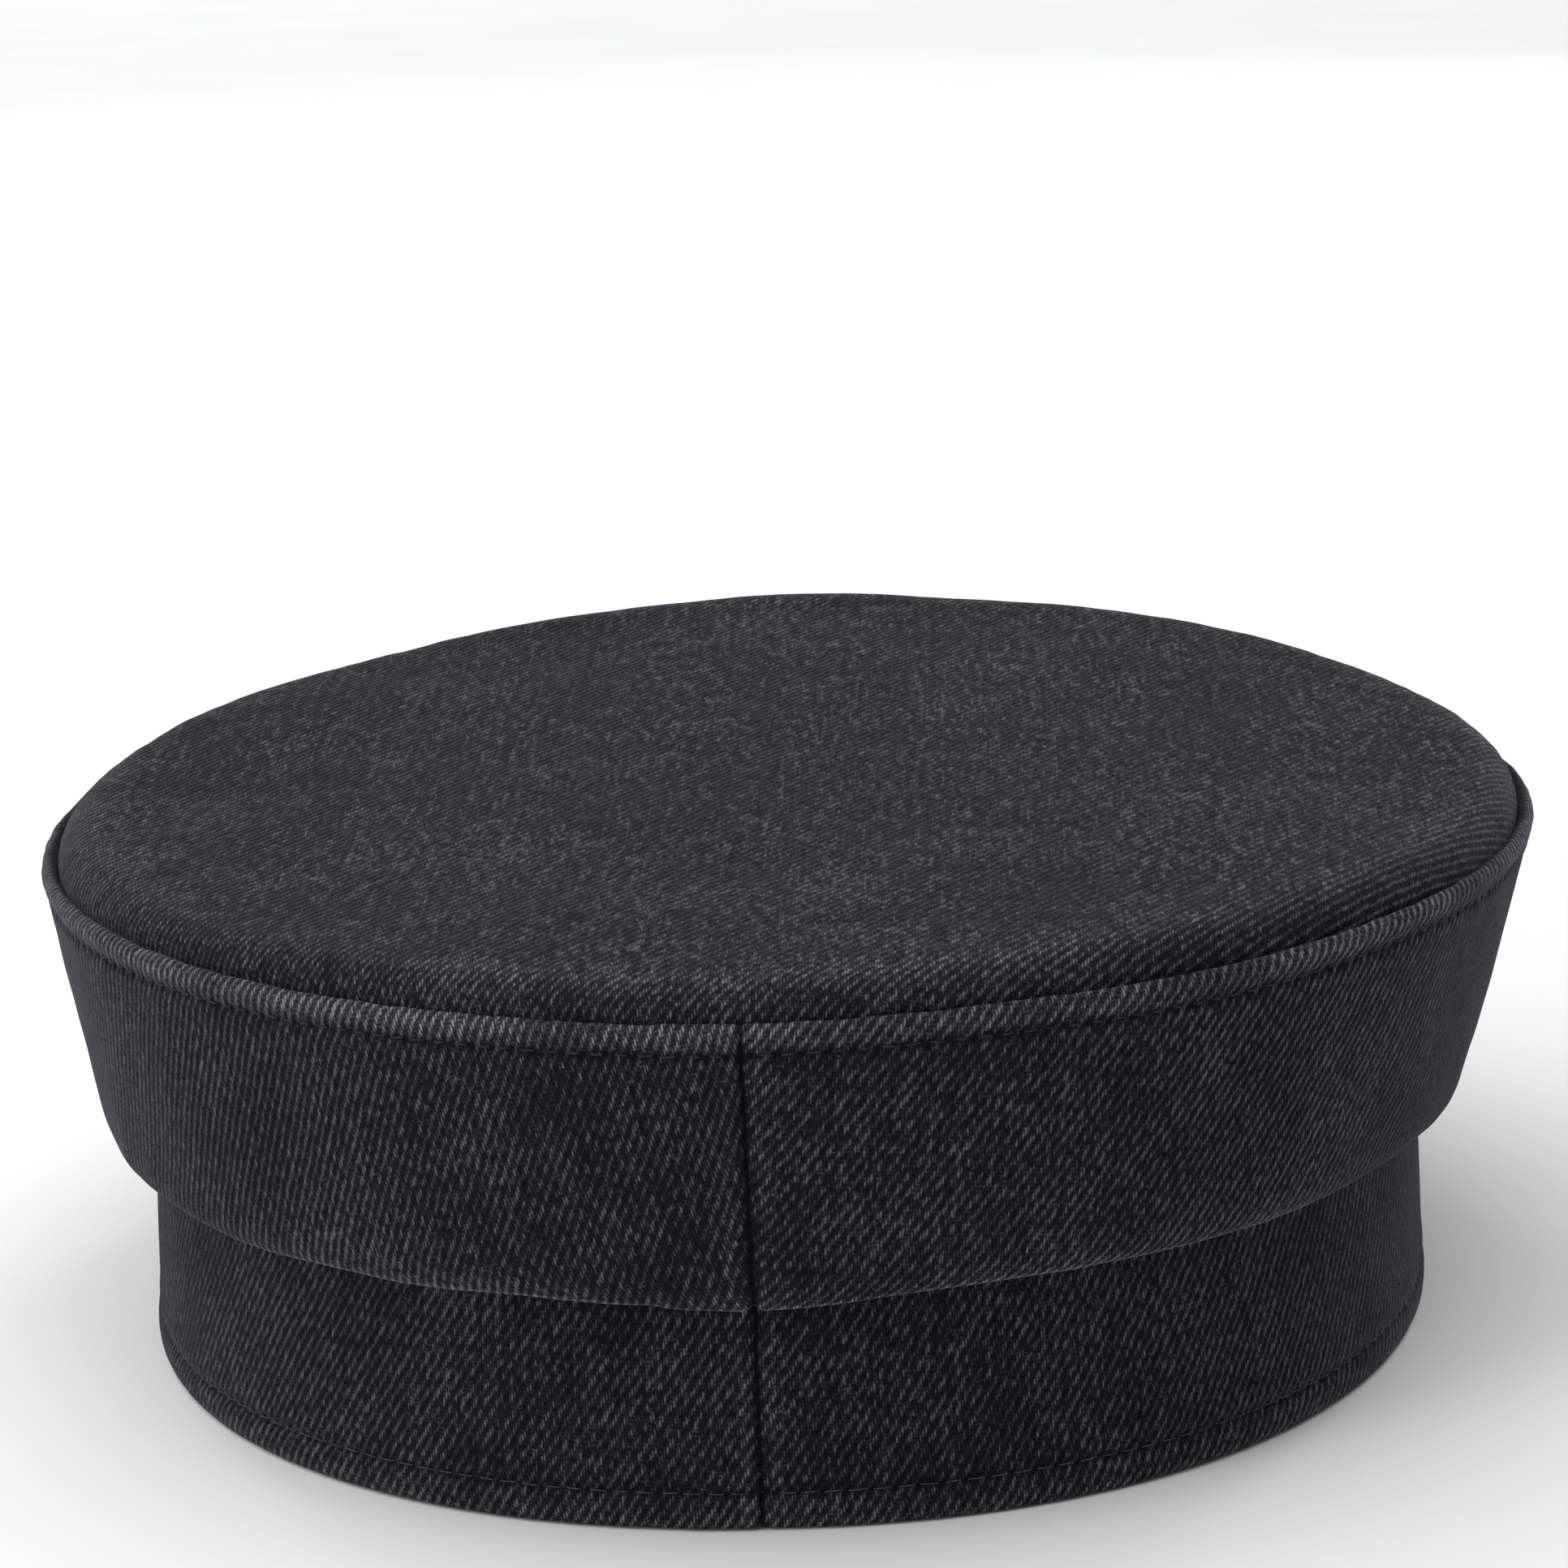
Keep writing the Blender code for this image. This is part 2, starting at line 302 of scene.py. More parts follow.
denim = {
    "endPitch": 0.367 * mm,  # warp threads across the cloth
    "pickPitch": 0.555 * mm,  # weft threads along it
    "repeat": 4,  # picks from one float to the next: three over and one under
    "wander": 0.3 * mm,  # how far the threads stray
    "wanderSize": 10 * mm,
    "floatLean": 0.2,  # of a float with the twill line
    "floatSlip": 0.16,  # how unevenly the floats start
    "floatProfile": ((0, 0.04), (0.18, 0.12), (0.32, 0.8), (0.46, 1.0), (0.58, 0.8), (0.72, 0.14),
                     (0.88, 0.04), (1, 0.04)),
    "endProfile": (0.0, 0.9, 0.15, 1.0),
    "weftHeight": 0.22,
    "blend": 0.06,  # between warp and weft
    "slubs": (0.85, 0.022, 0),  # slubs are a thread wide and long
    "napWidth": 1.35 * mm,  # clumps of the brushed nap on the crown, drawn out along the warp
    "napLength": 4.4 * mm,
    # each pattern: what it follows, scale, detail and roughness of its noise, least and most of its effect
    "patterns": {
        "fuzz": ("threads", 1.7, 2.0, 0.5, -0.03, 0.34),
        "slub": ("slubs", 1.0, 1.0, 0.5, 0.8, 1.2),
        "tuft": ("threads", 0.42, 2.0, 0.5, 0.5, 1.54),
        "mottle": ("wash", 1 / (13 * mm), 4.0, 0.62, 0.76, 1.23),
        "cloud": ("wash", 1 / (48 * mm), 2.0, 0.5, 0.87, 1.12),
        "nap": ("nap", 1.0, 3.0, 0.7, -0.8, 0.74),
    },
    "floatTones": (0.68, 1.26),  # each float takes the dye in its own way
    "napCover": 0.32,  # how much of the weave the nap hides
    "napTone": 0.46,
    "palest": (1.34, 0.7),  # even the palest float keeps some dye; the second number softens the limit
    "dyeTone": 0.535,
    "rubbedTone": (0.36, 0.07),
    "shades": ((0, "#0c0c0e"), (0.22, "#1d1d21"), (0.48, "#3c3c42"), (0.75, "#5e5e62"), (1, "#808083")),
    "lintSpacing": 3.2 * mm,
    "lintDot": (0.02, 0.06, 0.38, 0.0),
    "lintMissing": 0.86,  # share of the places without a speck
    "relief": 0.16 * mm,
    "holeLength": 0.3125,  # dents where the stitches draw the cloth in, in stitches
    "holeWidth": 0.55 * mm,
    "holePull": 0.35 * mm,
    # painted shade in the stitch holes
    "holePaintedShade": 0.75,
    "roughness": 0.86,
    "specular": 0.05,
    "sheen": 0.65,
    "sheenRoughness": 0.06,  # narrow, so that it only greys the cloth seen edge on
}


def makeDenim(name):
    # Washed black denim, a 3/1 right-hand twill woven of dyed cotton. The eye gets steep fine ridges
    # of short light dashes on black, soft cloudy fading, pale edges and a dusty rim of light.
    d = denim
    material, add = newMaterial(name)
    cloth = add("UVMap", uv_map="cloth")
    wander = add("TexNoise", {"Vector": cloth, "Scale": 1 / d["wanderSize"], "Detail": 3.0},
                 noise_dimensions="2D")
    strayed = add("VectorMath", (wander.outputs["Color"], (d["wander"], d["wander"] * 2, 0), cloth),
                  "MULTIPLY_ADD")
    counted = add("VectorMath", (strayed, (1 / d["endPitch"], 1 / d["pickPitch"], 0)), "MULTIPLY")
    places = {"threads": counted, "wash": add("TexCoord").outputs["Object"],
              "slubs": add("VectorMath", (counted, d["slubs"]), "MULTIPLY"),
              "nap": add("VectorMath", (cloth, (1 / d["napWidth"], 1 / d["napLength"], 0)), "MULTIPLY")}
    uneven = {}
    for pattern, (place, scale, detail, roughness, least, most) in d["patterns"].items():
        clouds = add("TexNoise", {"Vector": places[place], "Scale": scale, "Detail": detail,
                                  "Roughness": roughness}, noise_dimensions="3D" if place == "wash" else "2D")
        uneven[pattern] = add("MapRange", (clouds, 0.3, 0.7, least, most))

    # each float starts one pick above its neighbour, and leans a little with the twill line
    end, pick = add("SeparateXYZ", (counted,)).outputs[:2]
    endNumber, acrossEnd = [add("Math", (end,), part) for part in ("FLOOR", "FRACT")]
    between = add("Mix", {"Factor": d["floatLean"], "A": add("Math", (endNumber, 0.5)), "B": end})
    steps = add("Math", (pick, between), "SUBTRACT")
    floats = add("Math", (steps, 1 / d["repeat"]), "MULTIPLY")
    floatNumber, alongFloat = [add("Math", (floats,), part) for part in ("FLOOR", "FRACT")]

    # height of the warp floats over the weft
    endTurn, pickTurn = [add("Math", (value, math.pi), "MULTIPLY") for value in (acrossEnd, pick)]
    endRound, pickRound = [add("Math", (turn,), "SINE") for turn in (endTurn, pickTurn)]
    floatSeed = add("CombineXYZ", (endNumber, floatNumber))
    floatChance = add("TexWhiteNoise", {"Vector": floatSeed}, noise_dimensions="2D")
    slipped = add("Math", (floatChance.outputs["Color"], d["floatSlip"], alongFloat), "MULTIPLY_ADD")
    lengthwise = add("ValToRGB", (slipped,),
                     stops=[(place, (level, level, level, 1)) for place, level in d["floatProfile"]])
    lengthwise.color_ramp.interpolation = "B_SPLINE"
    warp = add("Math", (add("MapRange", (endRound, *d["endProfile"])), lengthwise), "MULTIPLY")
    weft = add("Math", (add("Math", (pickRound,), "ABSOLUTE"), d["weftHeight"]), "MULTIPLY")
    smooth = add("Math", (warp, weft, d["blend"]), "SMOOTH_MAX")
    weave = add("Math", (smooth, uneven["fuzz"]), "ADD", use_clamp=True)

    # lightness of the dye from 0, deep black, to 1, rubbed pale; the nap lies over the weave
    wear, paintedShade, nap = [add("Attribute", attribute_name=mark).outputs["Fac"]
                         for mark in ("wear", "paintedShade", "nap")]
    hidden = add("Math", (nap, d["napCover"]), "MULTIPLY")
    lightness = add("Mix", {"Factor": hidden, "A": weave, "B": d["napTone"]})
    floatTone = add("MapRange", (floatChance, 0.0, 1.0, *d["floatTones"]))
    washed = add("Math", (nap, uneven["nap"], uneven["cloud"]), "MULTIPLY_ADD")
    for factor in (floatTone, uneven["slub"], uneven["tuft"], uneven["mottle"], washed):
        lightness = add("Math", (lightness, factor), "MULTIPLY")
    dyed = add("Math", (lightness, *d["palest"]), "SMOOTH_MIN")
    threadTone = add("Math", (weave, *d["rubbedTone"]), "MULTIPLY_ADD")
    rubbed = add("Math", (threadTone, wear), "MULTIPLY")
    base = add("Math", (dyed, d["dyeTone"], rubbed), "MULTIPLY_ADD")
    # painted shade: the cloth is darkened in seam grooves, along stitch lines and in the groove under the
    # crown's seam
    shaded = add("Math", (add("Math", (1.0, paintedShade), "SUBTRACT"), base), "MULTIPLY")

    # specks of lint
    lintCell = add("TexVoronoi", {"Vector": cloth, "Scale": 1 / d["lintSpacing"]}, voronoi_dimensions="2D")
    lintDot = add("MapRange", (lintCell, *d["lintDot"]))
    lintDraw = add("SeparateColor", (lintCell.outputs["Color"],))
    lintHere = add("Math", (lintDraw, d["lintMissing"]), "GREATER_THAN")
    tone = add("Math", (lintDot, lintHere, shaded), "MULTIPLY_ADD", use_clamp=True)
    colour = add("ValToRGB", (tone,), stops=[(place, linear(shade)) for place, shade in d["shades"]])

    # relief of the weave, and dents along the stitches, with painted shade in the stitch holes
    weaveBump = add("Bump", {"Height": weave, "Distance": d["relief"]})
    sewn, beside = add("SeparateXYZ", (add("UVMap", uv_map="stitches"),)).outputs[:2]
    phase = add("Math", (sewn,), "FRACT")
    toHole = add("Math", (phase, 1 / d["holeLength"], -0.5 / d["holeLength"]), "MULTIPLY_ADD")
    toLine = add("Math", (beside, 1 / d["holeWidth"]), "MULTIPLY")
    holeSquare = add("Math", (toHole, toHole), "MULTIPLY")
    square = add("Math", (toLine, toLine, holeSquare), "MULTIPLY_ADD")
    hole = add("Math", (1 / math.e, square), "POWER")
    holeBump = add("Bump", {"Height": hole, "Distance": d["holePull"], "Normal": weaveBump}, invert=True)
    # painted shade: the stitch holes are mixed towards near black
    holePaintedShade = add("Math", (hole, d["holePaintedShade"]), "MULTIPLY")
    painted = add("Mix", {"Factor": holePaintedShade, 6: colour, 7: linear("#0b0b0c")}, data_type="RGBA")
    surface = add("BsdfPrincipled",
                  {"Base Color": painted.outputs[2], "Normal": holeBump, "Roughness": d["roughness"],
                   "Specular IOR Level": d["specular"], "IOR": 1.5, "Sheen Weight": d["sheen"],
                   "Sheen Roughness": d["sheenRoughness"], "Sheen Tint": linear("#e1e1ee")})
    add("OutputMaterial", {"Surface": surface})
    return material


def makeThread(name, dark, pale):
    # Spun polyester sewing thread, matt grey with a faint gloss, so that each stitch catches one light
    material, add = newMaterial(name)
    place = add("TexCoord").outputs["Object"]
    fibre = add("TexNoise", {"Vector": place, "Scale": 1 / (0.5 * mm), "Detail": 3.0})
    shade = add("ValToRGB", (fibre,), stops=((0.3, linear(dark)), (0.7, linear(pale))))
    bump = add("Bump", {"Height": fibre, "Distance": 0.05 * mm, "Strength": 0.8})
    surface = add("BsdfPrincipled", {"Base Color": shade, "Normal": bump, "Roughness": 0.75,
                                     "Specular IOR Level": 0.2, "Sheen Weight": 0.1, "Sheen Roughness": 0.4})
    add("OutputMaterial", {"Surface": surface})
    return material


# Stitches, set along a line by Geometry Nodes. Lift is how high the line lies over the cloth.

topstitch = {"pitch": 3.0 * mm, "length": 2.0 * mm, "thickness": 0.27 * mm, "bow": 0.07 * mm,
             "slant": 8 * degree, "lift": 0.06 * mm}
hemStitch = {"pitch": 3.0 * mm, "length": 2.3 * mm, "thickness": 0.17 * mm, "bow": 0.08 * mm,
             "slant": 4 * degree, "lift": 0.05 * mm}
stitchSizes = ((0.88, 0.9, 0.85), (1.06, 1.12, 1.2))  # least and most of each stitch's own scale


def makeStitchTree():
    tree = bpy.data.node_groups.new("stitches", "GeometryNodeTree")
    inputs = {"line": "Geometry", "count": "Int", "length": "Float", "thickness": "Float", "bow": "Float",
              "slant": "Float", "seed": "Int", "thread": "Material"}
    for name, kind in inputs.items():
        tree.interface.new_socket(name, in_out="INPUT", socket_type="NodeSocket" + kind)
    tree.interface.new_socket("stitches", in_out="OUTPUT", socket_type="NodeSocketGeometry")
    add = functools.partial(addNode, tree)
    given = add("NodeGroupInput").outputs
    parts = (("length", 0.5), ("length", -0.5), ("thickness", -0.8), ("thickness", 0.5), ("bow", 2.0),
             ("slant", -1.0))
    halfLength, backEnd, sunk, radius, bowPoint, leftSlant = [
        add("Math", (given[name], factor), "MULTIPLY") for name, factor in parts]

    # points along the line, each turned along it and outwards from the cloth
    line = add("GeometryNodeMeshToCurve", (given["line"],))
    spaced = add("GeometryNodeResampleCurve", {"Curve": line, "Count": given["count"]})
    facing = add("GeometryNodeInputNamedAttribute", {"Name": "facing"}, data_type="FLOAT_VECTOR")
    along = add("FunctionNodeAlignRotationToVector", {"Vector": add("GeometryNodeInputTangent")}, axis="X")
    upright = add("FunctionNodeAlignRotationToVector", {"Rotation": along, "Vector": facing}, axis="Z",
                  pivot_axis="X")
    slant = add("FunctionNodeRandomValue", {"Min": leftSlant, "Max": given["slant"], "Seed": given["seed"]})
    turn = add("FunctionNodeEulerToRotation", (add("CombineXYZ", {2: slant.outputs[1]}),))
    turned = add("FunctionNodeRotateRotation", (upright, turn), rotation_space="LOCAL")
    size = add("FunctionNodeRandomValue", {0: stitchSizes[0], 1: stitchSizes[1], "Seed": given["seed"]},
               data_type="FLOAT_VECTOR")

    # one stitch is a short arch of round thread with its ends in the cloth
    points = [add("CombineXYZ", {0: x, 2: z})
              for x, z in ((backEnd, sunk), (0.0, bowPoint), (halfLength, sunk))]
    arch = add("GeometryNodeCurveQuadraticBezier", (7, *points))
    profile = add("GeometryNodeCurvePrimitiveCircle", {"Resolution": 7, "Radius": radius})
    thread = add("GeometryNodeCurveToMesh", {"Curve": arch, "Profile Curve": profile, "Fill Caps": True})
    placed = add("GeometryNodeInstanceOnPoints",
                 {"Points": spaced, "Instance": thread, "Rotation": turned, "Scale": size})
    real = add("GeometryNodeRealizeInstances", (placed,))
    smooth = add("GeometryNodeSetShadeSmooth", (real,))
    coloured = add("GeometryNodeSetMaterial", {"Geometry": smooth, "Material": given["thread"]})
    add("NodeGroupOutput", (coloured,))
    return tree


stitchTree = makeStitchTree()


def newStitches(name, line, facing, closed, stitch, seed, thread):
    # stitches along a line of points on the cloth, with the cloth's outward directions
    line = line + facing * stitch["lift"] + (0, middleY, 0)
    path = bpy.data.meshes.new(name + "_line")
    links = [(k, (k + 1) % len(line)) for k in range(len(line) - (not closed))]
    path.from_pydata(line.tolist(), links, [])
    layer = path.attributes.new("facing", "FLOAT_VECTOR", "POINT")
    layer.data.foreach_set("vector", facing.astype(np.float32).ravel())
    holder = newObject(name + "_line", path)
    length = sum(sizeOf(line[a] - line[b]) for a, b in links)
    count = round(length / stitch["pitch"]) + (not closed)
    values = {**stitch, "count": count, "seed": seed, "thread": thread}
    modifier = holder.modifiers.new("stitches", "NODES")
    modifier.node_group = stitchTree
    for socket in stitchTree.interface.items_tree:
        if socket.name in values:
            modifier[socket.identifier] = values[socket.name]
    bpy.context.view_layer.update()
    mesh = bpy.data.meshes.new_from_object(holder.evaluated_get(bpy.context.evaluated_depsgraph_get()))
    holder.modifiers.remove(modifier)
    bpy.data.objects.remove(holder)
    bpy.data.meshes.remove(path)
    mesh.name = name
    print(name, "has", count, "stitches and", len(mesh.polygons), "faces")
    return newObject(name, mesh)


# Seams. Shapes and marks beside a line are in millimetres.

pressedSeam = {
    "allowance": 9.0,  # turned under to one side
    "step": 1.5,  # from the allowance down to the single cloth
    "swell": 0.2,  # of the cloth over the allowance
    "shoulders": ((0.1, 1.3, 0.9), (0.1, -1.3, 0.9), (-0.18, 0, 3.5)),
    "columns": (0.15, 0.3, 0.48, 0.9, 1.2, 1.7),  # extra columns of points beside a seam
}
unsewn = (0.0, 0.05)  # coordinates for stitches on cloth that has none


def besideSeam(run, length, seam):
    # distance round the cap from a seam, in millimetres
    return ((run - seam + length / 2) % length - length / 2) / mm


def seamRelief(distance, groove):
    # a pressed seam: a groove with soft shoulders, and the allowance turned to one side
    s = pressedSeam
    turned = ramp(distance, -s["allowance"] - s["step"], -s["allowance"]) * ramp(-distance, 0, s["step"])
    return humps(distance, groove, *s["shoulders"]) + s["swell"] * turned


def puckers(seamLine, distance, height, size, fade):
    # small gathers that run away from a seam and change slowly on their way, none in the seam
    spread = seamLine + distance[..., None] * (0, 0, 0.35 * mm)
    fine = noiseAt(spread, height, size, 8) + noiseAt(spread, 0.6 * height, 2.3 * size, 9)
    near = np.abs(distance)
    return fine * (1 - hump(near, 1.3)) * np.exp(-near / fade)


# Head band, an upright oval ring. Its width and height come from the frame.

headBand = {
    "halfWidth": (bandHigh.x - bandLow.x) / 2,
    "halfLength": 98.0 * mm,
    "height": bandHigh.z,
    "squareness": 2.12,  # 2 is a true ellipse
    "leanIn": 1.4 * mm,  # top edge inside the rim
    "rows": ((0.0, 0.0), (0.0, 0.08), (0.45, 0.54), (1.0, 1.0)),  # shares of the lean and of the height
    "steps": (6, 26, 18),
    "wall": 2.4 * mm,
    "columns": 840,
    "insideEvery": 5,  # of these rows is kept on the inside
    "flat": (0.592, 0.033),
    "hemUp": 5.0,  # hem stitches above the rim
    "seamGroove": (-0.5, 0, 0.34),
    "hemShape": ((-0.3, 0, 0.8), (0.22, -2.4, 1.9), (0.08, 1.8, 1.2)),
    "dents": (0.28, 19, 4),  # height, size and seed
    "dentsFree": (2, 9),  # above the rim, where they start and are full
    "lumps": (0.05, 3.5, 5),
    "rimRubbed": (0.75, 0.4, 1.1),
    "hemRubbed": (0.22, -2.2, 1.8),
    "seamRubbed": (0.35, 1.7, 0.9),
    # painted shade in the back seam's groove and in the dip along the hem stitches
    "seamPaintedShade": (0.72, 0, 0.32),
    "hemPaintedShade": (0.3, 0, 0.4),
}


def bandOutline(angles, lean=0.0):
    halfLength = headBand["halfLength"] - lean
    return oval(angles, headBand["halfWidth"] - lean, halfLength, halfLength, headBand["squareness"])


def anglesAt(places):
    # parameter angles at shares of the head band's length
    dense = np.linspace(0, 2 * math.pi, 7201) + math.pi / 2
    run = runAlong(bandOutline(dense))
    return np.interp(places * run[-1], run, dense)


def placesRound(count, seams):
    # even shares of the way round, with closer ones beside each seam
    beside = np.array(pressedSeam["columns"]) * mm / (2 * math.pi * headBand["halfLength"])
    close = [(seam + side * beside) % 1 for seam in seams for side in (-1, 1)]
    return np.unique(np.round(np.concatenate([np.arange(count) / count, *close]), 9))


def makeHeadBand(cloth, thread):
    b = headBand
    edge = b["wall"] / 2
    angles = anglesAt(placesRound(b["columns"], (0.0,)))
    rows = np.array([lifted(bandOutline(angles, b["leanIn"] * lean), edge + (b["height"] - b["wall"]) * up)
                     for lean, up in b["rows"]])
    rows = smoothed(rows, b["steps"])
    middle = len(rows) // 2
    up = (runUp(rows, 0) + edge) / mm
    toHem = up - b["hemUp"]
    run, length = runRound(rows[middle])
    toSeam = besideSeam(run, length, 0)
    maps = {"cloth": clothSides(rows, [0], 0, middle, len(rows) - 1),
            "stitches": stitchSides(run, length, hemStitch["pitch"], toHem * mm)}
    relief = (seamRelief(toSeam, b["seamGroove"]) + humps(toHem, *b["hemShape"])
              + noiseAt(rows, *b["dents"]) * ramp(up, *b["dentsFree"]) + noiseAt(rows, *b["lumps"]))
    rows = raised(rows, relief, normalsOf(rows))
    # rubbed paler wear, and painted shade in the seam's groove and along the hem
    marks = {"wear": (humps(up, b["rimRubbed"]) + humps(toHem, b["hemRubbed"])
                      + humps(np.abs(toSeam), b["seamRubbed"])),
             "paintedShade": humps(toSeam, b["seamPaintedShade"]) + humps(toHem, b["hemPaintedShade"])}
    piece = newStrip("head_band_denim", rows, b["wall"], b["insideEvery"], maps, marks, cloth)
    line, facing = [lineAt(values, up, b["hemUp"]) for values in (rows, normalsOf(rows))]
    return piece, newStitches("hem_stitches", line, facing, True, hemStitch, 11, thread)


# Side band, which flares out from a fold over the head band and rolls over to the top seam

sideBand = {
    "seat": bandHigh.z + 0.3 * mm,  # the fold rests just over the head band
    "sideOverhang": 16.1 * mm,  # of the widest line beyond the head band's rim
    "backOverhang": 5.9 * mm,
    "frontOverhang": 17.2 * mm,
    "squareness": 1.9,
    "widestForward": 14.9 * mm,
    "turn": -1.7 * degree,
    "slide": -0.9 * mm,  # the soft crown sits this far towards -X
    "rise": 33.9 * mm,  # crest above the head band
    "sideDroop": 1.4 * mm,
    "backDroop": 0.7 * mm,
    "roll": 3.6 * mm,  # from the crest down to the seam
    "rollIn": 2.0 * mm,  # from the widest line in to the seam
    "foldDrop": 2.0 * mm,
    "foldLean": 0.4 * mm,
    "foldOverhang": 7.2 * mm,
    "seamSag": 1.5 * mm,  # of the fold at the back seam
    "seamSagHalf": 15 * mm,
    # out, down and up, in shares of the fold's overhang and drop
    "foldRows": ((-0.33, 0, 0), (0.04, 0, 0), (0.28, 0.5, 0), (0.52, 1, 0), (0.72, 1, 0.03), (0.9, 1, 0.22),
                 (1.0, 1, 0.52)),
    # out and up, in shares of the way from the fold to the widest line
    "wallRows": ((0.15, 0.13), (0.33, 0.32), (0.53, 0.52), (0.74, 0.73), (0.92, 0.92)),
    # inset and down, in shares of the roll
    "widest": (0.0, 0.62),
    "ridgeRows": ((0.0, 0.72), (0.12, 0.46), (0.4, 0.3), (0.68, 0.33), (0.88, 0.52), (0.98, 0.9),
                  (1.0, 1.45)),
    "steps": (3, 3, 4, 4, 4, 4, 6, 8, 8, 9, 9, 6, 5, 5, 5, 5, 4, 2),
    "namedRows": (3, 11, 17),  # lowest, stitches and seam
    "wall": 1.3 * mm,
    "columns": 800,
    "insideEvery": 6,
    "flat": (0.68, 0.062),
    "area": 0.029,
    "cutCurve": 0.34,  # share of the flare that lies in the cut
    "offGrain": 3.0 * degree,
    "seamGroove": (-0.6, 0, 0.38),
    "seamAtTop": 0.35,  # share of the seams' relief left over the crest
    "seamsFree": (3, 7),  # below the seam at the top, as the next two
    "wobbleFree": (2, 8),
    "dentsFree": (3, 12),
    "wobble": (0.45, 13, 6),  # of the back seam
    "wobbleHalf": 9,
    "stitchShape": ((-0.28, 0, 0.75), (0.16, 2.3, 1.7), (0.1, -2.2, 1.6)),
    "pucker": (0.24, 3.4, 5.5),  # height, size and how far it runs
    "dents": (0.42, 17, 12),
    "lumps": (0.1, 5, 13),
    "sideBulge": 0.2,  # of the wall on -X
    "foldRubbed": ((1.3, 1.6, 0.6), (0.25, 3, 2.0)),
    "ribRubbed": (0.8, 2.6, 2.2),
    "rubPatches": (-0.75, 15, 16),  # how unevenly both are rubbed
    "seamRubbed": (0.3, 1.8, 1.0),
    # painted shade: in the seams' grooves, in the topstitch dip, and in the groove under the top seam
    "seamPaintedShade": (0.72, 0, 0.36),
    "stitchPaintedShade": (0.35, 0, 0.45),
    "groovePaintedShade": (0.8, -3.0, -1.4),  # strength, and where it starts and is full below the seam
}


def ridgeOutline(angles):
    s = sideBand
    points = oval(angles - s["turn"], headBand["halfWidth"] + s["sideOverhang"],
                  headBand["halfLength"] + s["backOverhang"], headBand["halfLength"] + s["frontOverhang"],
                  s["squareness"], s["widestForward"])
    points[:, 1] += s["widestForward"]
    cos, sin = math.cos(s["turn"]), math.sin(s["turn"])
    x = points[:, 0] * cos - points[:, 1] * sin + s["slide"]
    y = points[:, 0] * sin + points[:, 1] * cos - s["widestForward"]
    return pointsOf(x, y, points[:, 2])


def foldRow(angles, out, down, up):
    s = sideBand
    inner = bandOutline(angles, headBand["leanIn"])
    drop = s["foldDrop"] + s["foldLean"] * inner[:, 0] / headBand["halfWidth"]
    behind = np.hypot(inner[:, 0], inner[:, 1] - headBand["halfLength"])
    sag = s["seamSag"] * hump(behind, s["seamSagHalf"])
    height = s["seat"] - drop * down - sag + s["foldOverhang"] * up
    return lifted(movedOut(inner, s["foldOverhang"] * out), height)


def ridgeRow(angles, inset, down):
    s = sideBand
    outer = ridgeOutline(angles)
    backLength = headBand["halfLength"] + s["backOverhang"]
    height = (s["seat"] + s["rise"] - s["sideDroop"] * np.cos(2 * angles)
              - s["backDroop"] * outer[:, 1] / backLength - s["roll"] * down)
    return lifted(movedOut(outer, -s["rollIn"] * inset), height)


def wallRow(angles, out, up):
    low, high = foldRow(angles, *sideBand["foldRows"][-1]), ridgeRow(angles, *sideBand["widest"])
    return low + (high - low) * (out, out, up)


